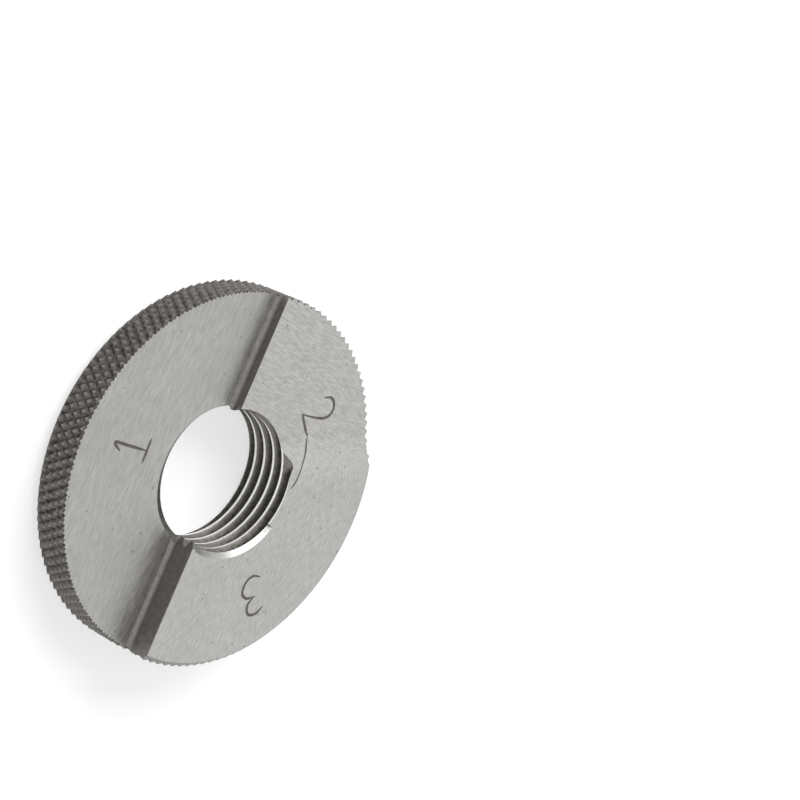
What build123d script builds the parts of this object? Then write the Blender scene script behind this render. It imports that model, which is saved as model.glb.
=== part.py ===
from build123d import *
from math import atan, cos, degrees, pi, radians, sin, tan
import os

# Taper thread ring gauge for a half-inch sealing pipe thread, lying on its plain
# back face. The axis is Z and the large end of the taper is at Z 0.

# Thread, with its full-size plane on the back face
threads_per_inch = 14
thread_major_dia = 20.955
taper_on_diameter = 1 / 16
flank_angle = 27.5
crest_relief = 0.14  # taken off the ring's crests, so that they clear the roots of a pipe

# Gauging length from the back face to the middle step
basic_length = 8.2

# Blank
outer_dia = 50.0
back_edge_chamfer = 1.45
front_edge_chamfer = 0.75
bore_back_chamfer = 1.5
bore_front_chamfer = 0.8
front_chamfer_start = -105  # it is only cut along the thin start of the thread,
front_chamfer_end = -22  # from one angle round the axis to the other

# Diamond knurl on the rim
knurl_teeth = 118  # diamonds side by side all the way round
knurl_angle = 30  # between each groove and the axis
knurl_depth = 0.5

# Steps in the front face, one pitch below and above the gauging length
low_edge_offset = 3.2  # the low half starts this far to the left of the axis
low_root_radius = 0.8
middle_edge_offset = 2.2  # the middle quarter's edge passes this far above the axis
middle_edge_angle = 17.5  # and rises to the right by this much
middle_edge_run = 6.0  # the edge is a slope this wide, half of it on each side
middle_root_radius = 8.0

# Worked out from the sizes above
pitch = 25.4 / threads_per_inch
thread_height = 0.640327 * pitch
radius_drop = taper_on_diameter / 2  # per millimetre along the axis
low_length = basic_length - pitch
full_length = basic_length + pitch
outer_radius = outer_dia / 2
clear = 1.0  # how far the cutting shapes reach past the metal
knurl_half_width = pi * outer_radius / knurl_teeth
knurl_length = full_length - back_edge_chamfer - front_edge_chamfer
knurl_rows = round(knurl_length * tan(radians(knurl_angle)) / knurl_half_width)

# Groove section: half-widths at its root and where the crest is cut off
groove_depth = thread_height - crest_relief
flank_slope = tan(radians(flank_angle))
root_half = pitch / 4 - thread_height / 2 * flank_slope
mouth_half = root_half + groove_depth * flank_slope


def crest_radius(height):
    """Radius of the tapered bore at a height over the back face."""
    return thread_major_dia / 2 - groove_depth - radius_drop * height


def knurl_point(column, row):
    """A diamond's tip where column + row is even, and a crossing of two grooves where it is odd."""
    inset = knurl_depth * ((column + row) % 2)
    height = back_edge_chamfer + knurl_length * row / knurl_rows
    if row == 0:
        height -= inset  # a groove runs on into the chamfer by its depth
    if row == knurl_rows:
        height += inset
    turn = pi * column / knurl_teeth
    radius = outer_radius - inset
    return Vector(radius * cos(turn), radius * sin(turn), height)


def face_point(column, radius, height):
    """Where a column of the knurl meets an end face, inside the chamfer."""
    turn = pi * column / knurl_teeth
    return Vector(radius * cos(turn), radius * sin(turn), height)


def back_point(column):
    return face_point(column, outer_radius - back_edge_chamfer, 0)


def front_point(column):
    return face_point(column, outer_radius - front_edge_chamfer, full_length)


def triangle(*corners):
    return Face(Wire.make_polygon(corners))


def knurled_blank():
    """The solid disc with its knurled rim, in flat facets, and both its edge chamfers."""
    columns = range(2 * knurl_teeth)
    facets = []
    for column in columns:
        beside = column + 1
        for row in range(knurl_rows):
            low = knurl_point(column, row)
            low_beside = knurl_point(beside, row)
            high = knurl_point(column, row + 1)
            high_beside = knurl_point(beside, row + 1)
            if (column + row) % 2:  # the groove climbs to the next column
                facets.append(triangle(low, low_beside, high_beside))
                facets.append(triangle(low, high_beside, high))
            else:
                facets.append(triangle(low, low_beside, high))
                facets.append(triangle(low_beside, high_beside, high))
        bottom = knurl_point(column, 0)
        bottom_beside = knurl_point(beside, 0)
        facets.append(triangle(back_point(column), back_point(beside), bottom))
        facets.append(triangle(back_point(beside), bottom_beside, bottom))
        top = knurl_point(column, knurl_rows)
        top_beside = knurl_point(beside, knurl_rows)
        facets.append(triangle(front_point(column), top, front_point(beside)))
        facets.append(triangle(front_point(beside), top, top_beside))
    facets.append(Face(Wire.make_polygon([back_point(column) for column in columns])))
    facets.append(Face(Wire.make_polygon([front_point(column) for column in columns])))
    return Solid(Shell(facets))


upward = (Align.CENTER, Align.CENTER, Align.MIN)
downward = (Align.CENTER, Align.CENTER, Align.MAX)

with BuildPart() as gauge_ring:
    add(knurled_blank())

    # Right-hand groove, cut in the solid blank from one pitch below to one above
    with BuildLine():
        path = Helix(
            pitch=pitch,
            height=full_length + 2 * pitch,
            radius=crest_radius(-pitch),
            center=(0, 0, -pitch),
            cone_angle=-degrees(atan(radius_drop)),
        )
    with BuildSketch(Plane(origin=path @ 0, x_dir=(1, 0, 0), z_dir=(0, -1, 0))) as groove:
        with BuildLine():
            Polyline(
                (-clear, -mouth_half),
                (0, -mouth_half),
                (groove_depth, -root_half),
                (groove_depth, root_half),
                (0, mouth_half),
                (-clear, mouth_half),
                close=True,
            )
        make_face()
    sweep(sections=groove.sketch, path=path, is_frenet=True, mode=Mode.SUBTRACT)

    # Tapered bore, which leaves the crests, and the chamfer at each end of it
    with Locations((0, 0, -clear)):
        Cone(
            crest_radius(-clear),
            crest_radius(full_length + clear),
            full_length + 2 * clear,
            align=upward,
            mode=Mode.SUBTRACT,
        )
    Cone(
        crest_radius(0) + bore_back_chamfer,
        crest_radius(0) - clear,
        bore_back_chamfer + clear,
        align=upward,
        mode=Mode.SUBTRACT,
    )
    with Locations((0, 0, full_length - bore_front_chamfer - clear)):
        Cone(
            crest_radius(full_length) - clear,
            crest_radius(full_length) + bore_front_chamfer,
            bore_front_chamfer + clear,
            arc_size=front_chamfer_end - front_chamfer_start,
            rotation=(0, 0, front_chamfer_start),
            align=(Align.NONE, Align.NONE, Align.NONE),
            mode=Mode.SUBTRACT,
        )

    # Ledges milled into the front face, each from the foot of its edge outward
    for facing, edge_offset, run, floor, root_radius in (
        (180, low_edge_offset, 0, low_length, low_root_radius),
        (90 + middle_edge_angle, middle_edge_offset, middle_edge_run, basic_length, middle_root_radius),
    ):
        across = Vector(1, 0, 0).rotate(Axis.Z, facing)
        foot = across * (edge_offset + run / 2) + Vector(0, 0, floor)
        side = Plane(origin=foot, x_dir=across, z_dir=across.cross(Vector(0, 0, 1)))
        top = full_length - floor + clear
        lean = run / (full_length - floor)
        with BuildSketch(side) as ledge:
            with BuildLine():
                Polyline((0, 0), (outer_dia, 0), (outer_dia, top), (-lean * top, top), close=True)
            make_face()
            fillet(ledge.vertices().sort_by_distance(foot)[0], radius=root_radius)
        extrude(amount=outer_dia, both=True, mode=Mode.SUBTRACT)

gauge_ring.part.label = "gauge_ring"

os.makedirs("parts", exist_ok=True)
export_step(gauge_ring.part, "parts/gauge_ring.step")
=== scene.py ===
"""Dresses the thread ring gauge: a finely cut steel ring, its scribed numerals and a plain studio."""

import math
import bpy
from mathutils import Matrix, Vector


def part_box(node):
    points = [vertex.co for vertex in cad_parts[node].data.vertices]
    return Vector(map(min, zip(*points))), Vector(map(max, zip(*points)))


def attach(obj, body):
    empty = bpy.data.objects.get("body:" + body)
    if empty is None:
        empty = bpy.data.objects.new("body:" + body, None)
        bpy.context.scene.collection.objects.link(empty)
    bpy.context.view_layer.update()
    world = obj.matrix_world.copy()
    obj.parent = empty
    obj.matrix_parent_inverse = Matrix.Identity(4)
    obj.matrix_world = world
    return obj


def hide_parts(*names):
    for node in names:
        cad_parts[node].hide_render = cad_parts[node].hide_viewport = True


bl_info = {
    "name": "Thread Ring Gauge",
    "version": (1, 0, 0),
    "blender": (4, 5, 0),
    "location": "3D View > Sidebar > Ring Gauge",
    "description": "Builds a stepped taper thread ring gauge with knurled rim and ground faces",
    "category": "Add Mesh",
}

import bpy
from bpy.props import FloatProperty, FloatVectorProperty, IntProperty, PointerProperty
from bpy.types import Operator, Panel, PropertyGroup
from mathutils import Matrix, Vector

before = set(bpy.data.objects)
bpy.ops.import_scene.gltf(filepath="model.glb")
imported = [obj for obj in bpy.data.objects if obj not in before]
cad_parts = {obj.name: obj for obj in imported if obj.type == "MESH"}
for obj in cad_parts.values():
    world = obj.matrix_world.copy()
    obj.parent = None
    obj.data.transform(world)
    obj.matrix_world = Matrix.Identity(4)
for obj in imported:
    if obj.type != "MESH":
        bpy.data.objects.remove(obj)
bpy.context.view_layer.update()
RING_NODE = "gauge_ring"
BODY = "root"

MM = 0.001
QUARTER_TURN = math.pi / 2
FULL_TURN = 2 * math.pi
RING_LOW, RING_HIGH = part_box(RING_NODE)


# ---------------------------------------------------------------- sizes and colours


def millimetres(name, description, default):
    """A length property, given in millimetres and kept in metres."""
    return FloatProperty(
        name=name, description=description, default=default * MM, unit="LENGTH", precision=5
    )


def metres(name, description, default):
    """A length property for the large things of the stage."""
    return FloatProperty(name=name, description=description, default=default, unit="LENGTH")


def degrees(name, description, default):
    """An angle property, given in degrees and kept in radians."""
    angle = math.radians(default)
    return FloatProperty(name=name, description=description, default=angle, subtype="ANGLE")


def share(name, description, default):
    """A property between nothing and all."""
    return FloatProperty(
        name=name, description=description, default=default, min=0.0, max=1.0, subtype="FACTOR"
    )


def colour(name, description, default):
    """A colour property."""
    return FloatVectorProperty(
        name=name, description=description, default=default, subtype="COLOR", size=3, min=0.0, max=1.0
    )


class GaugeThread(PropertyGroup):
    """Sizes of the taper thread in the bore."""

    pitch: millimetres("Pitch", "Height of one turn of the thread", 25.4 / 14)
    major_dia: millimetres("Major Diameter", "Diameter over sharp roots at the back face", 20.955)
    taper: FloatProperty(name="Taper", description="Change of diameter along the axis", default=1 / 16)
    flank_angle: degrees("Flank Angle", "Angle of each flank to a plane across the axis", 27.5)
    crest_relief: millimetres("Crest Relief", "Height taken off each crest", 0.14)
    corner_round: millimetres("Corner Rounding", "Softness of the crest and root corners", 0.05)


class GaugeBlank(PropertyGroup):
    """Sizes of the turned disc and of the steps milled in it."""

    outer_dia: millimetres(
        "Outer Diameter", "Diameter over the knurl", (RING_HIGH[0] - RING_LOW[0]) / MM
    )
    length: millimetres("Length", "Height of the highest step", (RING_HIGH[2] - RING_LOW[2]) / MM)
    back_chamfer: millimetres("Back Chamfer", "Chamfer round the back face", 1.45)
    front_chamfer: millimetres("Front Chamfer", "Chamfer round the front face", 0.75)
    bore_back_chamfer: millimetres(
        "Bore Back Chamfer", "Countersink at the large end of the thread", 1.5
    )
    bore_front_chamfer: millimetres(
        "Bore Front Chamfer", "Countersink at the small end of the thread", 0.8
    )
    front_chamfer_start: degrees(
        "Front Chamfer Start", "Where round the axis that countersink starts", -105
    )
    front_chamfer_end: degrees("Front Chamfer End", "Where round the axis it ends", -22)
    low_offset: millimetres("Low Edge", "How far the low half starts from the axis", 3.2)
    middle_offset: millimetres(
        "Middle Edge", "How far from the axis the middle of the middle quarter's slope runs", 2.2
    )
    middle_angle: degrees("Middle Edge Angle", "Turn of the middle quarter's slope", 17.5)
    middle_run: millimetres(
        "Middle Edge Run", "Width of the slope from the middle quarter to the highest face", 7.0
    )
    root_radius: millimetres("Root Radius", "Rounding at the foot of the low half's wall", 0.8)
    edge_break: millimetres("Edge Break", "Small chamfer along the top of that wall", 0.08)


class GaugeKnurl(PropertyGroup):
    """Sizes of the diamond knurl."""

    teeth: IntProperty(name="Teeth", description="Diamonds side by side all the way round", default=118)
    angle: degrees("Groove Angle", "Angle between each groove and the axis", 30)
    depth: millimetres("Depth", "From the diamonds' tips to the bottom of the grooves", 0.5)
    tip_flat: share("Tip Flat", "Share of each diamond that is worn flat", 0.06)
    groove_flat: share("Groove Flat", "Share taken by the groove's floor", 0.04)


class GaugeMarks(PropertyGroup):
    """Sizes of the numerals scribed on the three steps, and of the scratch."""

    width: millimetres("Stroke Width", "Width of a scribed line", 0.42)
    depth: millimetres("Stroke Depth", "Depth of a scribed line", 0.09)
    height: millimetres("Height", "Height of a numeral", 5.8)
    scratch_width: millimetres(
        "Scratch Width", "Width of the stray scratch at the foot of the middle numeral", 0.32
    )


class GaugeFinish(PropertyGroup):
    """Colours of the steel; some of them, and tones made from them, hold painted shade and painted
    highlights.
    """

    ground: colour("Ground Steel", "Ground faces", (0.495, 0.49, 0.474))
    milled: colour("Milled Steel", "Wall of the low half", (0.19, 0.178, 0.17))
    knurl: colour("Knurl", "Oxidised flanks of the knurl", (0.125, 0.116, 0.11))
    # The lighter tone at the knurl's tips is a painted highlight, not rubbing.
    knurl_tip_highlight: colour("Knurl Tips", "Rubbed tips of the knurl", (0.23, 0.22, 0.21))
    # Dark tone of the wall's rounded foot: painted shade in the corner.
    shaded_step_root: colour("Step Root", "Rounded foot of the low half's wall", (0.22, 0.215, 0.205))
    # Dark tone of the thread's flanks: painted shade down in the grooves.
    thread: colour("Thread", "Flanks of the thread", (0.2, 0.19, 0.175))
    # The crests' near-white tone, lighter than the ground faces, is a painted highlight.
    crest: colour("Crests", "Ground crests of the thread", (0.86, 0.86, 0.85))
    countersink: colour("Countersinks", "Turned chamfers at both ends of the bore", (0.42, 0.42, 0.41))
    scribed: colour("Scribed Lines", "Burnt bottom of the scribed lines", (0.15, 0.14, 0.12))


class GaugeStage(PropertyGroup):
    """Floor, light and camera."""

    floor_size: metres("Floor Size", "Width of the floor", 4.0)
    floor_colour: colour("Floor", "Colour of the floor", (0.80, 0.80, 0.80))
    floor_glow: share("Floor Glow", "Light added to the floor where it is seen", 0.57)
    sky_light: share("Sky Light", "Strength of the soft light from all round", 0.42)
    sky_seen: share("Sky Seen", "How bright the surroundings are where they are seen", 0.97)
    lamp_power: FloatProperty(
        name="Lamp Power", description="Power of the key lamp", default=6.0, unit="POWER"
    )
    lamp_width: metres("Lamp Width", "Width of the key lamp", 0.9)
    lamp_height: metres("Lamp Height", "Height of the key lamp", 0.6)
    lamp_place: FloatVectorProperty(
        name="Lamp Place",
        description="Where the key lamp hangs, looking at the middle of the ring's back face",
        default=(-0.15, 0.8, 0.58),
        subtype="TRANSLATION",
        unit="LENGTH",
    )
    lens: FloatProperty(
        name="Lens", description="Focal length on a 36 mm sensor", default=90.64, unit="CAMERA"
    )


# ---------------------------------------------------------------- mesh helpers


def new_object(name, vertices, faces):
    """A mesh object from lists of corners and faces, linked to the scene."""
    mesh = bpy.data.meshes.new(name)
    mesh.from_pydata(vertices, [], faces)
    mesh.validate()
    mesh.update()
    piece = bpy.data.objects.new(name, mesh)
    bpy.context.scene.collection.objects.link(piece)
    return piece


def on_circle(radius, turn, height):
    """A corner at a radius, a turn round the axis and a height."""
    return (radius * math.cos(turn), radius * math.sin(turn), height)


def closed_fan(ring, centre, outward_up):
    """Triangles that close a ring of corners to one centre corner."""
    pairs = zip(ring, ring[1:] + ring[:1])
    if outward_up:
        return [(a, b, centre) for a, b in pairs]
    return [(b, a, centre) for a, b in pairs]


def smooth_clamp(value, low, high, softness):
    """The value held between two limits, rounded off where it meets them."""

    def soft_max(a, b):
        return 0.5 * (a + b + math.sqrt((a - b) ** 2 + softness**2))

    return -soft_max(-soft_max(value, low), -high)


def lathe(name, profile, segments):
    """A closed solid of revolution whose profile starts and ends on the axis."""
    inner = profile[1:-1]
    vertices = [(0, 0, profile[0][1])]
    for radius, height in inner:
        vertices += [on_circle(radius, FULL_TURN * i / segments, height) for i in range(segments)]
    vertices.append((0, 0, profile[-1][1]))
    faces = closed_fan(list(range(1, segments + 1)), 0, outward_up=False)
    for row in range(len(inner) - 1):
        start = 1 + row * segments
        for i in range(segments):
            beside = (i + 1) % segments
            faces.append((start + i, start + beside, start + segments + beside, start + segments + i))
    last = 1 + (len(inner) - 1) * segments
    faces += closed_fan(list(range(last, last + segments)), len(vertices) - 1, outward_up=True)
    return new_object(name, vertices, faces)


def prism(name, outline, place):
    """A closed prism: an outline across, at -1 and 1 along, put in place by a matrix."""
    count = len(outline)
    vertices = [place @ Vector((x, side, z)) for side in (-1, 1) for x, z in outline]
    faces = [tuple(range(count)), tuple(reversed(range(count, 2 * count)))]
    for i in range(count):
        beside = (i + 1) % count
        faces.append((beside, i, count + i, count + beside))
    return new_object(name, vertices, faces)


# ---------------------------------------------------------------- shapes of the ring

ROUND_SEGMENTS = 240
KNURL_PARTS = 4  # cells between a knurl tip and the next crossing


class RingForm:
    """The ring's sizes, read once, and the surfaces that follow from them."""

    def __init__(self, scene):
        self.thread = scene.gauge_thread
        self.blank = scene.gauge_blank
        self.knurl = scene.gauge_knurl
        thread = self.thread
        slope = math.tan(thread.flank_angle)
        sharp_height = thread.pitch / (2 * slope)
        thread_height = sharp_height * 2 / 3
        self.groove_depth = thread_height - thread.crest_relief
        self.root_half = thread.pitch / 4 - thread_height / 2 * slope
        self.mouth_half = self.root_half + self.groove_depth * slope
        self.full = self.blank.length
        self.basic = self.full - thread.pitch
        self.low = self.full - 2 * thread.pitch
        self.radius = self.blank.outer_dia / 2
        self.rim_length = self.full - self.blank.back_chamfer - self.blank.front_chamfer

    def slope_height(self, across):
        """Height of the front face at a distance across the middle edge, from high to middle."""
        part = min(1, max(0, 0.5 + across / self.blank.middle_run))
        return self.full - (self.full - self.basic) * part**2 * (3 - 2 * part)

    def front_height(self, point):
        """Height of the front face at a point."""
        if point.x < -self.blank.low_offset:
            return self.low
        turn = self.blank.middle_angle
        across = point.y * math.cos(turn) - point.x * math.sin(turn) - self.blank.middle_offset
        return self.slope_height(across)

    def crest_radius(self, height):
        """Radius of the tapered bore over the crests."""
        return self.thread.major_dia / 2 - self.groove_depth - self.thread.taper / 2 * height

    def groove_offset(self, along):
        """Depth of the groove at a distance from its middle, along the axis."""
        fall = (self.mouth_half - abs(along)) / (self.mouth_half - self.root_half)
        return smooth_clamp(fall * self.groove_depth, 0, self.groove_depth, self.thread.corner_round)

    def groove_rows(self):
        """Places along one turn of the thread, close together at the corners of the groove."""
        corner = 0.09 * MM
        mouth = [self.mouth_half + corner * part for part in (1, 0.4, 0, -0.4, -1)]
        root = [self.root_half + corner * part for part in (1, 0.35, -0.35, -1)]
        half = [self.thread.pitch / 2] + mouth + root
        return [-along for along in half] + [0] + half[:0:-1]

    def knurl_inset(self, column, row):
        """Depth of the knurl, where whole columns and rows are tips and crossings."""
        part = 0
        for position in ((column + row) / 2, (column - row) / 2):
            part = max(part, abs(2 * (position - round(position))))
        span = 1 - self.knurl.tip_flat - self.knurl.groove_flat
        return self.knurl.depth * min(1, max(0, (part - self.knurl.tip_flat) / span))


def nearest_tip(column, row):
    """Column and row of the knurl tip nearest to a place; at a tip they add up to an even number."""
    tip_column, tip_row = round(column), round(row)
    if (tip_column + tip_row) % 2:
        if abs(column - tip_column) > abs(row - tip_row):
            tip_column += 1 if column > tip_column else -1
        else:
            tip_row += 1 if row > tip_row else -1
    return tip_column, tip_row


def blank_rings(form, columns, rows):
    """Rings of corners from the back face up the rim to the front face, knurled between chamfers."""
    blank = form.blank
    edge = 0.06 * MM
    edge_rise = edge * 1.4  # a little steeper than the chamfer, which softens its edge
    margin = 2 * MM  # level strip inside each chamfer
    top_step = rows * KNURL_PARTS

    def plain_ring(radius, height):
        return [on_circle(radius, FULL_TURN * i / columns, height) for i in range(columns)]

    def knurled_ring(step):
        ring = []
        for i in range(columns):
            inset = form.knurl_inset(i / KNURL_PARTS, step / KNURL_PARTS)
            height = blank.back_chamfer + form.rim_length * (step / KNURL_PARTS) / rows
            if step == 0:
                height -= inset
            if step == top_step:
                height += inset
            ring.append(on_circle(form.radius - inset, FULL_TURN * i / columns, height))
        return ring

    back_flat = form.radius - blank.back_chamfer
    front_flat = form.radius - blank.front_chamfer
    back = [
        plain_ring(back_flat - margin, 0),
        plain_ring(back_flat - edge, 0),
        plain_ring(back_flat + edge, edge_rise),
    ]
    front = [
        plain_ring(front_flat + edge, form.full - edge_rise),
        plain_ring(front_flat - edge, form.full),
        plain_ring(front_flat - margin, form.full),
    ]
    return back, [knurled_ring(step) for step in range(top_step + 1)], front


def make_blank(form):
    """The solid disc with its chamfers and knurled rim, each knurl cell split along its crease."""
    knurl = form.knurl
    columns = 2 * knurl.teeth * KNURL_PARTS
    half_width = math.pi * form.radius / knurl.teeth
    rows = round(form.rim_length * math.tan(knurl.angle) / half_width)
    back, knurled, front = blank_rings(form, columns, rows)
    rings = back + knurled + front
    first_knurl = len(back)
    last_knurl = first_knurl + len(knurled) - 1

    vertices = [corner for ring in rings for corner in ring]
    faces = []
    for j in range(len(rings) - 1):
        for i in range(columns):
            a, b = j * columns + i, j * columns + (i + 1) % columns
            c, d = b + columns, a + columns
            if not first_knurl <= j < last_knurl:
                faces.append((a, b, c, d))
                continue
            column = (i + 0.5) / KNURL_PARTS
            row = (j - first_knurl + 0.5) / KNURL_PARTS
            tip_column, tip_row = nearest_tip(column, row)
            if (column - tip_column) * (row - tip_row) > 0:
                faces += [(a, b, d), (b, c, d)]
            else:
                faces += [(a, b, c), (a, c, d)]
    centre = len(vertices)
    vertices += [(0, 0, 0), (0, 0, form.full)]
    last = (len(rings) - 1) * columns
    faces += closed_fan(list(range(columns)), centre, outward_up=False)
    faces += closed_fan(list(range(last, last + columns)), centre + 1, outward_up=True)
    return new_object("gauge_body", vertices, faces)


def make_tap(form):
    """The threaded rod that leaves the bore: one strip wound round, closed at both ends."""
    pitch = form.thread.pitch
    spare = 2  # turns past each end of the bore
    turns = math.ceil(form.full / pitch) + 2 * spare
    start = -spare * pitch
    alongs = form.groove_rows()
    rows = len(alongs)

    vertices = []
    for step in range(ROUND_SEGMENTS * turns + 1):
        turn = FULL_TURN * step / ROUND_SEGMENTS
        middle = start + pitch * step / ROUND_SEGMENTS
        for along in alongs:
            height = middle + along
            radius = form.crest_radius(height) + form.groove_offset(along)
            vertices.append(on_circle(radius, turn, height))

    def corner_index(step, row):
        """The last row of a turn is the first row of the next one."""
        if row == rows:
            step += ROUND_SEGMENTS
            row = 0
        return step * rows + row

    faces = []
    last_step = ROUND_SEGMENTS * (turns - 1)
    for step in range(last_step):
        for row in range(rows):
            cell = ((step, row), (step + 1, row), (step + 1, row + 1), (step, row + 1))
            faces.append(tuple(corner_index(*corner) for corner in cell))
    low_rim = [corner_index(step, 0) for step in range(ROUND_SEGMENTS + 1)]
    low_rim += [corner_index(0, row) for row in range(rows - 1, 0, -1)]
    high_rim = [corner_index(last_step, row) for row in range(rows)]
    high_rim += [corner_index(last_step + step, 0) for step in range(ROUND_SEGMENTS, 0, -1)]
    centre = len(vertices)
    vertices += [(0, 0, start), (0, 0, start + pitch * (turns - 0.5))]
    faces += closed_fan(low_rim, centre, outward_up=False)
    faces += closed_fan(high_rim, centre + 1, outward_up=False)

    used = sorted({index for face in faces for index in face})
    renumber = {old: new for new, old in enumerate(used)}
    vertices = [vertices[index] for index in used]
    faces = [tuple(renumber[index] for index in face) for face in faces]
    return new_object("cut_tap", vertices, faces)


def make_back_countersink(form):
    """The cone that chamfers the large end of the bore, with a blunt tip."""
    past = 1 * MM
    tip = 0.1 * MM
    rim = form.crest_radius(0) + form.blank.bore_back_chamfer
    profile = [(0, -past), (rim + past, -past), (tip, rim - tip), (0, rim - tip)]
    return lathe("cut_back_countersink", profile, ROUND_SEGMENTS)


def make_front_countersink(form):
    """A slice of a cone that chamfers the small end along the thin start of the thread."""
    blank = form.blank
    past = 1 * MM
    rim = form.crest_radius(form.full) + blank.bore_front_chamfer + past
    top = form.full + past
    steps = 84
    start = blank.front_chamfer_start
    sweep = blank.front_chamfer_end - start
    vertices = [on_circle(rim, start + sweep * i / steps, top) for i in range(steps + 1)]
    foot = steps + 1
    centre = steps + 2
    vertices += [(0, 0, top - rim), (0, 0, top)]
    faces = [(0, centre, foot), (steps, foot, centre)]
    for i in range(steps):
        faces += [(i, i + 1, centre), (i + 1, i, foot)]
    return new_object("cut_front_countersink", vertices, faces)


def step_outline(form):
    """Outline of the cut over the low half: a floor, a rounded foot, a wall and a broken top edge."""
    root = form.blank.root_radius
    rim = form.blank.edge_break
    reach = form.blank.outer_dia
    past = 2 * MM
    top = form.full + past
    steps = 10
    foot = []
    for i in range(steps + 1):
        turn = QUARTER_TURN * i / steps
        foot.append((root * (1 - math.sin(turn)), form.low + root * (1 - math.cos(turn))))
    corner = [(reach, form.low), (reach, top), (-rim - past, top), (0, form.full - rim)]
    return corner + foot[::-1]


def slope_outline(form):
    """Outline of the cut over the middle quarter: a floor that sweeps up to the highest face."""
    half_run = form.blank.middle_run / 2
    reach = form.blank.outer_dia
    top = form.full + 2 * MM
    lift = 0.002 * MM
    steps = 24
    sweep = []
    for i in range(steps + 1):
        across = half_run * (1 - 2 * i / steps)
        sweep.append((across, form.slope_height(across) + lift * i / steps))
    return [(reach, form.basic), (reach, top), (-half_run, top)] + sweep[::-1]


def make_ledge(form, name, facing, offset, outline):
    """The cutter of one step, from its edge outward."""
    place = (
        Matrix.Rotation(facing, 4, "Z")
        @ Matrix.Translation((offset, 0, 0))
        @ Matrix.Diagonal((1, form.blank.outer_dia, 1, 1))
    )
    return prism(name, outline, place)


# ---------------------------------------------------------------- scribed numerals

# Strokes of each numeral in a box one unit high, centred on it, with its top at +Y
NUMERAL_STROKES = {
    1: [[(-0.17, 0.27), (-0.02, 0.50), (0.0, 0.1), (0.02, -0.46)], [(-0.27, -0.47), (0.3, -0.44)]],
    2: [
        [
            (-0.27, 0.26), (-0.17, 0.44), (0.02, 0.5), (0.2, 0.4),
            (0.24, 0.2), (0.1, -0.05), (-0.28, -0.46),
        ],
        [(-0.3, -0.44), (0.32, -0.48)],
    ],
    3: [
        [(-0.25, 0.42), (-0.02, 0.5), (0.2, 0.4), (0.18, 0.16), (-0.06, 0.03)],
        [(-0.08, 0.04), (0.17, -0.02), (0.28, -0.22), (0.14, -0.44), (-0.08, -0.5), (-0.28, -0.38)],
    ],
}

# Middle of each numeral and the bends of the stray scratch, in millimetres from the axis
NUMERAL_PLACES = {1: (-16.5, 0.0), 2: (10.8, 12.4), 3: (11.0, -13.1)}
SCRATCH_BENDS = [(10.4, 9.5), (10.9, 6.9), (10.4, 4.0), (9.6, 1.9)]


def curve_point(a, b, c, d, part):
    """The point a part of the way from b to c on a smooth curve through four points."""
    run = (c - a) * part
    bend = (2 * a - 5 * b + 4 * c - d) * part**2
    twist = (3 * b - a - 3 * c + d) * part**3
    return 0.5 * (2 * b + run + bend + twist)


def smooth_line(points, pieces=6):
    """A line through given points, rounded between them."""
    points = [Vector(point) for point in points]
    if len(points) < 3:
        return [points[0].lerp(points[1], i / pieces) for i in range(pieces + 1)]
    ends = [points[0]] + points + [points[-1]]
    line = []
    for around in zip(ends, ends[1:], ends[2:], ends[3:]):
        line += [curve_point(*around, i / pieces) for i in range(pieces)]
    return line + [points[-1]]


def stroke_cutter(form, name, line, width, depth):
    """A V-shaped sliver along a line on the front face, that tapers over a fifth at each end."""
    rise = 0.02 * MM
    end_swell = 0.45
    taper_parts = 5
    last = len(line) - 1
    vertices = []
    for i, point in enumerate(line):
        ahead = line[min(i + 1, last)] - line[max(i - 1, 0)]
        across = Vector((ahead.y, -ahead.x)).normalized()
        swell = end_swell + (1 - end_swell) * min(1, taper_parts * min(i, last - i) / last)
        half = width / 2 * swell * (1 + rise / depth)
        surface = form.front_height(point)
        vertices += [
            (point.x - across.x * half, point.y - across.y * half, surface + rise),
            (point.x, point.y, surface - depth * swell),
            (point.x + across.x * half, point.y + across.y * half, surface + rise),
        ]
    tail = 3 * last
    faces = [(0, 1, 2), (tail + 2, tail + 1, tail)]
    for a in range(0, tail, 3):
        faces += [(a, a + 3, a + 4, a + 1), (a + 1, a + 4, a + 5, a + 2), (a + 2, a + 5, a + 3, a)]
    return new_object(name, vertices, faces)


def make_strokes(form, marks):
    """Cutters for one numeral on each step, its top outward, and for a stray scratch."""
    cutters = []
    for numeral, place in NUMERAL_PLACES.items():
        centre = Vector(place) * MM
        upward = centre.normalized()
        rightward = Vector((upward.y, -upward.x))
        for number, stroke in enumerate(NUMERAL_STROKES[numeral]):
            line = [
                centre + (rightward * point.x + upward * point.y) * marks.height
                for point in smooth_line(stroke)
            ]
            name = f"cut_numeral_{numeral}_{number}"
            cutters.append(stroke_cutter(form, name, line, marks.width, marks.depth))
    scratch = smooth_line([Vector(bend) * MM for bend in SCRATCH_BENDS])
    cutters.append(stroke_cutter(form, "cut_scratch", scratch, marks.scratch_width, marks.depth / 2))
    return cutters


# ---------------------------------------------------------------- shader helpers

WHITE = (1.0, 1.0, 1.0, 1.0)
WHOLE = (0.0, 1.0)
NOISE_SPREAD = (0.3, 0.7)  # where nearly all of a fine noise lies
NOISE_CORE = (0.35, 0.65)


def group_tree(name, inputs, outputs):
    """An empty shader node group with named number sockets and the values they start from."""
    tree = bpy.data.node_groups.new(name, "ShaderNodeTree")
    for label, default in inputs.items():
        socket = tree.interface.new_socket(name=label, in_out="INPUT", socket_type="NodeSocketFloat")
        socket.default_value = default
    for label in outputs:
        tree.interface.new_socket(name=label, in_out="OUTPUT", socket_type="NodeSocketFloat")
    return tree, tree.nodes.new("NodeGroupInput"), tree.nodes.new("NodeGroupOutput")


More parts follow.
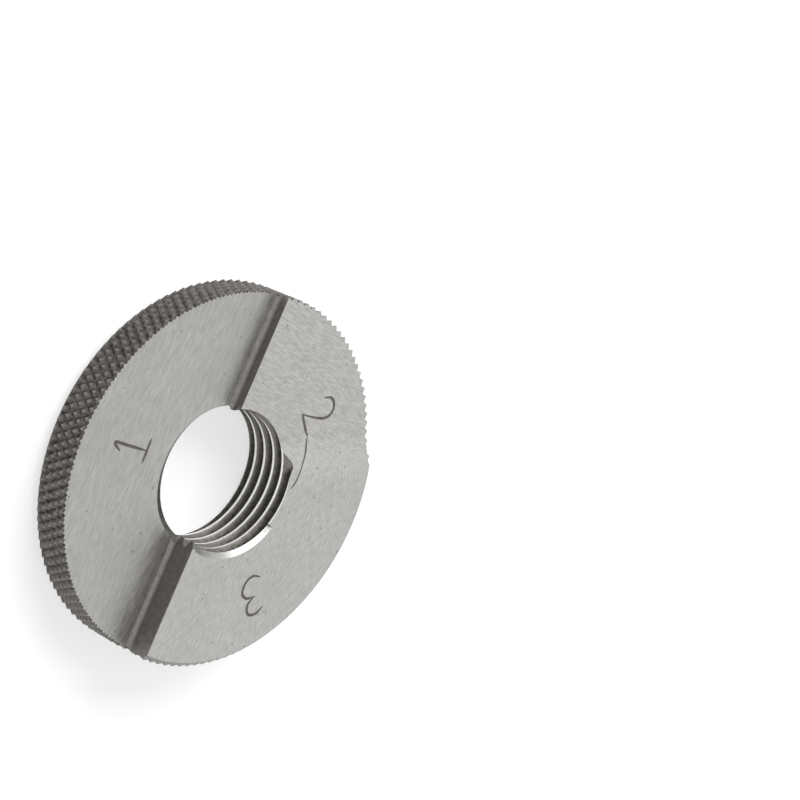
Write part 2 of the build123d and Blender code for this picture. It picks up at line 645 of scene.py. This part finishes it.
def add_node(tree, kind, settings=None, values=None):
    """A node with its settings and the numbers on its sockets."""
    node = tree.nodes.new(kind)
    for key, value in (settings or {}).items():
        setattr(node, key, value)
    for key, value in (values or {}).items():
        node.inputs[key].default_value = value
    return node


def place_group(tree, group, values):
    """A shared node group placed in a material with its own values."""
    node = tree.nodes.new("ShaderNodeGroup")
    node.node_tree = group
    for key, value in values.items():
        node.inputs[key].default_value = value
    return node


def shade(tone, factor):
    """A tone made lighter or darker."""
    return tuple(min(1.0, channel * factor) for channel in tone)


def mix_colours(tree, factor, first, second):
    """A colour mix whose sides are sockets or fixed tones."""
    mix = add_node(tree, "ShaderNodeMix", {"data_type": "RGBA"})
    tree.links.new(factor, mix.inputs["Factor"])
    for key, side in (("A", first), ("B", second)):
        socket = [entry for entry in mix.inputs if entry.name == key and entry.type == "RGBA"][0]
        if isinstance(side, tuple):
            socket.default_value = (*side, 1.0)
        else:
            tree.links.new(side, socket)
    return [entry for entry in mix.outputs if entry.type == "RGBA"][0]


def remap(tree, value, span, target):
    """A value carried from one span to another, and held inside it."""
    limits = {"From Min": span[0], "From Max": span[1], "To Min": target[0], "To Max": target[1]}
    node = add_node(tree, "ShaderNodeMapRange", values=limits)
    tree.links.new(value, node.inputs["Value"])
    return node.outputs["Result"]


def bump_to(tree, shader, height, depth, strength):
    """Fine relief on a shader from a height pattern."""
    bump = add_node(tree, "ShaderNodeBump", values={"Distance": depth, "Strength": strength})
    tree.links.new(height, bump.inputs["Height"])
    tree.links.new(bump.outputs["Normal"], shader.inputs["Normal"])


# ---------------------------------------------------------------- effects the finishes share


def build_lines_group():
    """Fine parallel grinding lines in one direction, and soft patches."""
    tree, entry, leave = group_tree(
        "grinding_lines", {"Direction": 0.0, "Fineness": 6500.0, "Stretch": 0.12}, ["Lines", "Patches"]
    )
    link = tree.links.new
    place = add_node(tree, "ShaderNodeTexCoord")
    turn = add_node(tree, "ShaderNodeVectorRotate", {"rotation_type": "Z_AXIS"})
    link(place.outputs["Object"], turn.inputs["Vector"])
    link(entry.outputs["Direction"], turn.inputs["Angle"])
    squeeze = add_node(tree, "ShaderNodeCombineXYZ", values={"Y": 1.0, "Z": 1.0})
    link(entry.outputs["Stretch"], squeeze.inputs["X"])
    scaled = add_node(tree, "ShaderNodeVectorMath", {"operation": "MULTIPLY"})
    link(turn.outputs["Vector"], scaled.inputs[0])
    link(squeeze.outputs["Vector"], scaled.inputs[1])
    lines = add_node(tree, "ShaderNodeTexNoise", values={"Detail": 3.0, "Roughness": 0.6})
    link(scaled.outputs["Vector"], lines.inputs["Vector"])
    link(entry.outputs["Fineness"], lines.inputs["Scale"])
    patches = add_node(
        tree, "ShaderNodeTexNoise", values={"Scale": 130.0, "Detail": 4.0, "Roughness": 0.55}
    )
    link(place.outputs["Object"], patches.inputs["Vector"])
    link(lines.outputs["Fac"], leave.inputs["Lines"])
    link(patches.outputs["Fac"], leave.inputs["Patches"])
    return tree


def build_speck_group():
    """Small scattered pits with ragged edges."""
    pitted_share = 0.2
    tree, entry, leave = group_tree("pits_and_stains", {"Scale": 700.0, "Size": 0.12}, ["Specks"])
    link = tree.links.new
    place = add_node(tree, "ShaderNodeTexCoord")
    ragged = add_node(tree, "ShaderNodeTexNoise", values={"Scale": 6000.0, "Detail": 2.0})
    link(place.outputs["Object"], ragged.inputs["Vector"])
    shift = add_node(tree, "ShaderNodeVectorMath", {"operation": "SCALE"}, {"Scale": 0.3 * MM})
    link(ragged.outputs["Color"], shift.inputs[0])
    moved = add_node(tree, "ShaderNodeVectorMath", {"operation": "ADD"})
    link(place.outputs["Object"], moved.inputs[0])
    link(shift.outputs["Vector"], moved.inputs[1])
    cells = add_node(tree, "ShaderNodeTexVoronoi", values={"Randomness": 1.0})
    link(moved.outputs["Vector"], cells.inputs["Vector"])
    link(entry.outputs["Scale"], cells.inputs["Scale"])
    chosen = add_node(tree, "ShaderNodeSeparateColor")
    link(cells.outputs["Color"], chosen.inputs["Color"])
    few = add_node(tree, "ShaderNodeMath", {"operation": "GREATER_THAN"}, {1: 1 - pitted_share})
    link(chosen.outputs["Red"], few.inputs[0])
    near = add_node(tree, "ShaderNodeMath", {"operation": "LESS_THAN"})
    link(cells.outputs["Distance"], near.inputs[0])
    link(entry.outputs["Size"], near.inputs[1])
    both = add_node(tree, "ShaderNodeMath", {"operation": "MULTIPLY"})
    link(few.outputs["Value"], both.inputs[0])
    link(near.outputs["Value"], both.inputs[1])
    link(both.outputs["Value"], leave.inputs["Specks"])
    return tree


def build_rim_group():
    """Mottled grime, and how near a point is to the knurl's tips, from 0 in the grooves to 1, the mask
    of the knurl's painted highlight.
    """
    tree, entry, leave = group_tree(
        "tip_highlight_and_grime", {"Groove Radius": 0.0, "Tip Radius": 1.0}, ["Tips", "Grime"]
    )
    link = tree.links.new
    place = add_node(tree, "ShaderNodeTexCoord")
    flat = add_node(tree, "ShaderNodeVectorMath", {"operation": "MULTIPLY"}, {1: (1.0, 1.0, 0.0)})
    link(place.outputs["Object"], flat.inputs[0])
    radius = add_node(tree, "ShaderNodeVectorMath", {"operation": "LENGTH"})
    link(flat.outputs["Vector"], radius.inputs[0])
    tips = add_node(tree, "ShaderNodeMapRange")
    link(radius.outputs["Value"], tips.inputs["Value"])
    link(entry.outputs["Groove Radius"], tips.inputs["From Min"])
    link(entry.outputs["Tip Radius"], tips.inputs["From Max"])
    grime = add_node(
        tree, "ShaderNodeTexNoise", values={"Scale": 1500.0, "Detail": 4.0, "Roughness": 0.65}
    )
    link(place.outputs["Object"], grime.inputs["Vector"])
    link(tips.outputs["Result"], leave.inputs["Tips"])
    link(grime.outputs["Fac"], leave.inputs["Grime"])
    return tree


# ---------------------------------------------------------------- finishes


def new_material(name):
    """A node material with a metal shader, its tree and the shader."""
    material = bpy.data.materials.new(name)
    material.use_nodes = True
    shader = material.node_tree.nodes["Principled BSDF"]
    shader.inputs["Metallic"].default_value = 1.0
    return material, material.node_tree, shader


def blend_by_height(tree, lower, upper, span):
    """A pattern that changes from one to another between two heights."""
    place = add_node(tree, "ShaderNodeTexCoord")
    parts = add_node(tree, "ShaderNodeSeparateXYZ")
    tree.links.new(place.outputs["Object"], parts.inputs["Vector"])
    blend = add_node(tree, "ShaderNodeMix")
    tree.links.new(remap(tree, parts.outputs["Z"], span, WHOLE), blend.inputs["Factor"])
    tree.links.new(lower, blend.inputs["A"])
    tree.links.new(upper, blend.inputs["B"])
    return blend.outputs["Result"]


def ground_material(name, groups, tone, contrast, directions, span=None):
    """Ground steel: lines, cloudy patches and a few pits. Two directions change over the span."""
    roughness = 0.4
    material, tree, shader = new_material(name)
    patterns = [place_group(tree, groups["lines"], {"Direction": turn}) for turn in directions]
    height = patterns[0].outputs["Lines"]
    if span:
        height = blend_by_height(tree, height, patterns[1].outputs["Lines"], span)
    lines = remap(tree, height, NOISE_SPREAD, WHOLE)
    fine = mix_colours(tree, lines, shade(tone, 1 - contrast), shade(tone, 1 + contrast))
    stains = remap(tree, patterns[0].outputs["Patches"], (0.35, 0.7), (0.0, 0.22))
    cloudy = mix_colours(tree, stains, fine, shade(tone, 0.72))
    specks = place_group(tree, groups["specks"], {"Scale": 800.0, "Size": 0.12})
    pits = remap(tree, specks.outputs["Specks"], WHOLE, (0.0, 0.6))
    spotted = mix_colours(tree, pits, cloudy, shade(tone, 0.3))
    gloss = remap(tree, height, NOISE_SPREAD, (roughness - 0.06, roughness + 0.08))
    tree.links.new(spotted, shader.inputs["Base Color"])
    tree.links.new(gloss, shader.inputs["Roughness"])
    bump_to(tree, shader, height, depth=0.02 * MM, strength=0.35)
    return material


def knurl_material(groups, finish, form):
    """Oxidised flanks, mottled with grime, and a lighter tone towards the tips: a painted highlight."""
    material, tree, shader = new_material("oxidised_knurl")
    radii = {"Groove Radius": form.radius - form.knurl.depth, "Tip Radius": form.radius}
    rim = place_group(tree, groups["rim"], radii)
    grime = rim.outputs["Grime"]
    oxide = remap(tree, grime, NOISE_CORE, WHOLE)
    flank = mix_colours(tree, oxide, shade(finish.knurl, 0.5), shade(finish.knurl, 1.5))
    # Lighter towards the tips: painted highlight.
    tips = remap(tree, rim.outputs["Tips"], (0.45, 0.95), WHOLE)
    tip_highlighted = mix_colours(tree, tips, flank, shade(finish.knurl_tip_highlight, 1.0))
    tree.links.new(tip_highlighted, shader.inputs["Base Color"])
    tree.links.new(remap(tree, grime, NOISE_SPREAD, (0.34, 0.56)), shader.inputs["Roughness"])
    bump_to(tree, shader, grime, depth=0.12 * MM, strength=0.6)
    return material


def turned_material(name, groups, tone, contrast, roughness):
    """Turned or cut steel with faint mottling, for chamfers, walls, thread and scribed lines; the tones
    given for the rim chamfers, the wall's root and the thread's flanks hold painted shade, and the
    crests' tone a painted highlight.
    """
    material, tree, shader = new_material(name)
    grime = place_group(tree, groups["rim"], {}).outputs["Grime"]
    mottle = remap(tree, grime, NOISE_CORE, WHOLE)
    mottled = mix_colours(tree, mottle, shade(tone, 1 - contrast), shade(tone, 1 + contrast))
    specks = place_group(tree, groups["specks"], {"Scale": 900.0, "Size": 0.16})
    pits = remap(tree, specks.outputs["Specks"], WHOLE, (0.0, 0.5))
    spotted = mix_colours(tree, pits, mottled, shade(tone, 0.4))
    gloss = remap(tree, grime, NOISE_SPREAD, (roughness - 0.05, roughness + 0.1))
    tree.links.new(spotted, shader.inputs["Base Color"])
    tree.links.new(gloss, shader.inputs["Roughness"])
    bump_to(tree, shader, grime, depth=0.03 * MM, strength=0.3)
    return material


def build_finishes(form, finish):
    """All the steel finishes, in the order of the ring's material slots."""
    groups = {"lines": build_lines_group(), "specks": build_speck_group(), "rim": build_rim_group()}

    def ground(name, tone, **look):
        return ground_material(f"ground_{name}", groups, tone, **look)

    def turned(name, tone, **look):
        return turned_material(name, groups, tone, **look)

    steps = (form.basic, form.full)
    # Both tones are the ground steel darkened as painted shade: a little for the low step, by half for
    # the rim chamfers.
    shaded_chamfer_tone, shaded_low_tone = shade(finish.ground, 0.5), shade(finish.ground, 0.9)
    return {
        "low": ground("low_step_shaded", shaded_low_tone, contrast=0.2, directions=[QUARTER_TURN]),
        "upper": ground("upper_steps", finish.ground, contrast=0.24, directions=[0.1, 1.75], span=steps),
        "back": ground("back_face", finish.ground, contrast=0.2, directions=[0.3]),
        "wall": turned("milled_wall", finish.milled, contrast=0.12, roughness=0.4),
        # Wall root: a dark tone painted as shade in the corner.
        "root": turned("shaded_step_root", finish.shaded_step_root, contrast=0.15, roughness=0.4),
        "knurl": knurl_material(groups, finish, form),
        # Rim chamfers: the ground tone at half strength, painted shade.
        "chamfer": turned("turned_chamfer_shaded", shaded_chamfer_tone, contrast=0.15, roughness=0.36),
        # Thread flanks: a dark tone painted as shade in the grooves.
        "thread": turned("thread_flanks_shaded", finish.thread, contrast=0.2, roughness=0.3),
        # Crests: a near-white tone painted as a highlight.
        "crest": turned("thread_crest_highlight", finish.crest, contrast=0.05, roughness=0.22),
        "countersink": turned("turned_countersink", finish.countersink, contrast=0.08, roughness=0.3),
        "scribed": turned("scribed_line", finish.scribed, contrast=0.2, roughness=0.5),
    }


# ---------------------------------------------------------------- finishing the ring

NEAR = 0.02 * MM
SHARP_ANGLE = math.radians(28)

# How far up a face looks, from -1 to 1, where one kind of surface gives way to another
LOOKS_DOWN = -0.98
LOOKS_UP = 0.9
STEEP = 0.6
TILTED = 0.5
UPRIGHT = 0.3

# How far a face of the bore looks inward, from 0 to 1
CREST_INWARD = 0.97
CONE_INWARD = (0.6, 0.8)
BORE_INWARD = 0.3


def bore_kind(form, radius, height, inward, upward):
    """Which finish a face of the bore has: a crest, the front countersink or the thread."""
    # Crest faces take a near-white tone, a painted highlight.
    if inward > CREST_INWARD and radius < form.crest_radius(height) + 3 * NEAR:
        return "crest"
    on_cone = CONE_INWARD[0] < inward < CONE_INWARD[1] and upward > STEEP
    past_thread = radius > form.crest_radius(form.full)
    if on_cone and past_thread and height > form.full - form.blank.bore_front_chamfer - NEAR:
        return "countersink"
    # The other faces of the thread take its flanks' tone, painted shade.
    return "thread"


def surface_kind(form, centre, normal):
    """Which finish a face of the ring has, from where it lies and which way it looks."""
    blank = form.blank
    radius = math.hypot(centre.x, centre.y)
    inward = -(normal.x * centre.x + normal.y * centre.y) / radius
    drop = form.front_height(centre) - centre.z
    rim_width = 2 * MM
    deepest_mark = 0.1 * MM
    if normal.z < LOOKS_DOWN:
        return "back"
    if normal.z > LOOKS_UP and abs(drop) < 0.3 * NEAR:
        # The low step's finish is the ground tone darkened, painted shade.
        return "low" if centre.z < form.low + NEAR else "upper"
    if radius > form.radius - form.knurl.depth - NEAR and abs(normal.z) < STEEP:
        return "knurl"
    if radius > form.radius - rim_width:
        # Chamfer faces take the ground tone halved, painted shade.
        return "wall" if abs(normal.z) < UPRIGHT and centre.z > form.low else "chamfer"
    thread_radius = form.crest_radius(centre.z) + form.groove_depth
    if radius < thread_radius + NEAR and inward > BORE_INWARD and centre.z < form.full:
        return bore_kind(form, radius, centre.z, inward, normal.z)
    if centre.z < blank.bore_back_chamfer + NEAR and normal.z < -TILTED:
        return "countersink"
    # Faces of the rounded foot take the root's dark tone, painted shade.
    behind_edge = -(centre.x + blank.low_offset)
    if 0 < behind_edge < blank.root_radius and 0 < centre.z - form.low < blank.root_radius / 2:
        return "root"
    return "scribed" if 0 < drop < deepest_mark and normal.z > TILTED else "wall"


def apply_modifiers(piece):
    """Keeps what the modifiers make as the piece's own mesh."""
    depsgraph = bpy.context.evaluated_depsgraph_get()
    result = bpy.data.meshes.new_from_object(piece.evaluated_get(depsgraph))
    piece.modifiers.clear()
    old = piece.data
    piece.data = result
    bpy.data.meshes.remove(old)


def cut(piece, cutters):
    """Takes all the cutters off a piece in one exact cut, then drops them."""
    group = bpy.data.collections.new("cutters")
    for cutter in cutters:
        bpy.context.scene.collection.objects.unlink(cutter)
        group.objects.link(cutter)
    bpy.context.scene.collection.children.link(group)
    modifier = piece.modifiers.new("cut", "BOOLEAN")
    modifier.operation = "DIFFERENCE"
    modifier.operand_type = "COLLECTION"
    modifier.collection = group
    modifier.solver = "EXACT"
    apply_modifiers(piece)
    for cutter in cutters:
        mesh = cutter.data
        bpy.data.objects.remove(cutter)
        bpy.data.meshes.remove(mesh)
    bpy.data.collections.remove(group)


def dress(piece, form, finishes):
    """Gives each face its finish and shades smooth all but the sharp edges."""
    mesh = piece.data
    mesh.materials.clear()
    kinds = list(finishes)
    for kind in kinds:
        mesh.materials.append(finishes[kind])
    for face in mesh.polygons:
        face.material_index = kinds.index(surface_kind(form, face.center, face.normal))
        face.use_smooth = True
    mesh.set_sharp_from_angle(angle=SHARP_ANGLE)
    weighted = piece.modifiers.new("weighted", "WEIGHTED_NORMAL")
    weighted.keep_sharp = True
    weighted.weight = 100
    apply_modifiers(piece)
    piece.data.name = "gauge_body"


class GAUGE_OT_ring(Operator):
    """Builds the ring: knurled blank, taper thread, countersinks, steps and numerals"""

    bl_idname = "gauge.ring"
    bl_label = "Build Ring"

    def execute(self, context):
        scene = context.scene
        form = RingForm(scene)
        blank = form.blank
        middle_facing = QUARTER_TURN + blank.middle_angle
        ring = make_blank(form)
        cutters = [
            make_tap(form),
            make_back_countersink(form),
            make_front_countersink(form),
            make_ledge(form, "cut_low", math.pi, blank.low_offset, step_outline(form)),
            make_ledge(form, "cut_middle", middle_facing, blank.middle_offset, slope_outline(form)),
        ]
        cutters += make_strokes(form, scene.gauge_marks)
        cut(ring, cutters)
        dress(ring, form, build_finishes(form, scene.gauge_finish))
        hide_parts(RING_NODE)
        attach(ring, BODY)
        return {"FINISHED"}


# ---------------------------------------------------------------- stage

# Where the camera stands, in millimetres, and the directions of its right side and its back
VIEW_PLACE = (-189.64, 16.90, 183.73)
VIEW_RIGHT = (0.5795, 0.3948, 0.7130)
VIEW_BACK = (-0.7746, -0.0052, 0.6325)


def seen_rays(tree):
    """1 for rays from the camera, and for those that metal mirrors or glass lets through."""
    path = add_node(tree, "ShaderNodeLightPath")
    total = path.outputs["Is Camera Ray"]
    for kind in ("Is Glossy Ray", "Is Transmission Ray"):
        plus = add_node(tree, "ShaderNodeMath", {"operation": "ADD", "use_clamp": True})
        tree.links.new(total, plus.inputs[0])
        tree.links.new(path.outputs[kind], plus.inputs[1])
        total = plus.outputs["Value"]
    return total


def floor_material(stage):
    """Pale floor that reads as near white to the camera and to the steel, and takes shadows."""
    material = bpy.data.materials.new("studio_floor")
    material.use_nodes = True
    tree = material.node_tree
    shader = tree.nodes["Principled BSDF"]
    shader.inputs["Base Color"].default_value = (*stage.floor_colour, 1.0)
    shader.inputs["Roughness"].default_value = 0.9
    shader.inputs["Specular IOR Level"].default_value = 0.1
    shader.inputs["Emission Color"].default_value = WHITE
    glow = remap(tree, seen_rays(tree), WHOLE, (0.0, stage.floor_glow))
    tree.links.new(glow, shader.inputs["Emission Strength"])
    return material


def build_world(stage):
    """Soft even light, white where the camera looks past the floor."""
    world = bpy.data.worlds.new("studio_world")
    world.use_nodes = True
    tree = world.node_tree
    background = tree.nodes["Background"]
    background.inputs["Color"].default_value = WHITE
    strength = remap(tree, seen_rays(tree), WHOLE, (stage.sky_light, stage.sky_seen))
    tree.links.new(strength, background.inputs["Strength"])
    bpy.context.scene.world = world


def add_key_lamp(stage):
    """The one lamp, a soft box that looks at the origin."""
    lamp = bpy.data.lights.new("key_lamp", "AREA")
    lamp.shape = "RECTANGLE"
    lamp.size = stage.lamp_width
    lamp.size_y = stage.lamp_height
    lamp.energy = stage.lamp_power
    holder = bpy.data.objects.new("key_lamp", lamp)
    holder.location = stage.lamp_place
    holder.rotation_euler = (-Vector(stage.lamp_place)).to_track_quat("-Z", "Y").to_euler()
    bpy.context.scene.collection.objects.link(holder)


def add_camera(stage):
    """The camera looks down on the gauge from the side of its low half, turned on its side."""
    back = Vector(VIEW_BACK).normalized()
    upward = back.cross(Vector(VIEW_RIGHT).normalized()).normalized()
    matrix = Matrix((upward.cross(back), upward, back)).transposed().to_4x4()
    matrix.translation = Vector(VIEW_PLACE) * MM
    data = bpy.data.cameras.new("view")
    data.sensor_width = 36.0
    data.lens = stage.lens
    data.clip_start = 0.01
    holder = bpy.data.objects.new("view", data)
    holder.matrix_world = matrix
    bpy.context.scene.collection.objects.link(holder)
    bpy.context.scene.camera = holder


class GAUGE_OT_stage(Operator):
    """Sets the floor, the lamp, the world and the camera"""

    bl_idname = "gauge.stage"
    bl_label = "Set Stage"

    def execute(self, context):
        scene = context.scene
        stage = scene.gauge_stage
        half = stage.floor_size / 2
        corners = [(-half, -half, 0), (half, -half, 0), (half, half, 0), (-half, half, 0)]
        floor = new_object("floor", corners, [(0, 1, 2, 3)])
        floor.location.z = RING_LOW[2]
        floor.data.materials.append(floor_material(stage))
        build_world(stage)
        add_key_lamp(stage)
        add_camera(stage)
        scene.view_settings.view_transform = "Standard"
        return {"FINISHED"}


class GAUGE_PT_panel(Panel):
    """Lists the steps that build the gauge, and its sizes and colours"""

    bl_idname = "GAUGE_PT_panel"
    bl_label = "Ring Gauge"
    bl_space_type = "VIEW_3D"
    bl_region_type = "UI"
    bl_category = "Ring Gauge"

    def draw(self, context):
        for operator in OPERATORS:
            self.layout.operator(operator.bl_idname)
        for name in GROUPS:
            box = self.layout.box()
            group = getattr(context.scene, name)
            for key in group.__annotations__:
                box.prop(group, key)


GROUPS = {
    "gauge_thread": GaugeThread,
    "gauge_blank": GaugeBlank,
    "gauge_knurl": GaugeKnurl,
    "gauge_marks": GaugeMarks,
    "gauge_finish": GaugeFinish,
    "gauge_stage": GaugeStage,
}
OPERATORS = (GAUGE_OT_ring, GAUGE_OT_stage)


def register():
    for item in (*GROUPS.values(), *OPERATORS, GAUGE_PT_panel):
        bpy.utils.register_class(item)
    for name, group in GROUPS.items():
        setattr(bpy.types.Scene, name, PointerProperty(type=group))


def unregister():
    for name in GROUPS:
        delattr(bpy.types.Scene, name)
    for item in reversed((*GROUPS.values(), *OPERATORS, GAUGE_PT_panel)):
        bpy.utils.unregister_class(item)


def main():
    register()
    bpy.ops.gauge.ring()
    bpy.ops.gauge.stage()


if __name__ == "__main__":
    main()
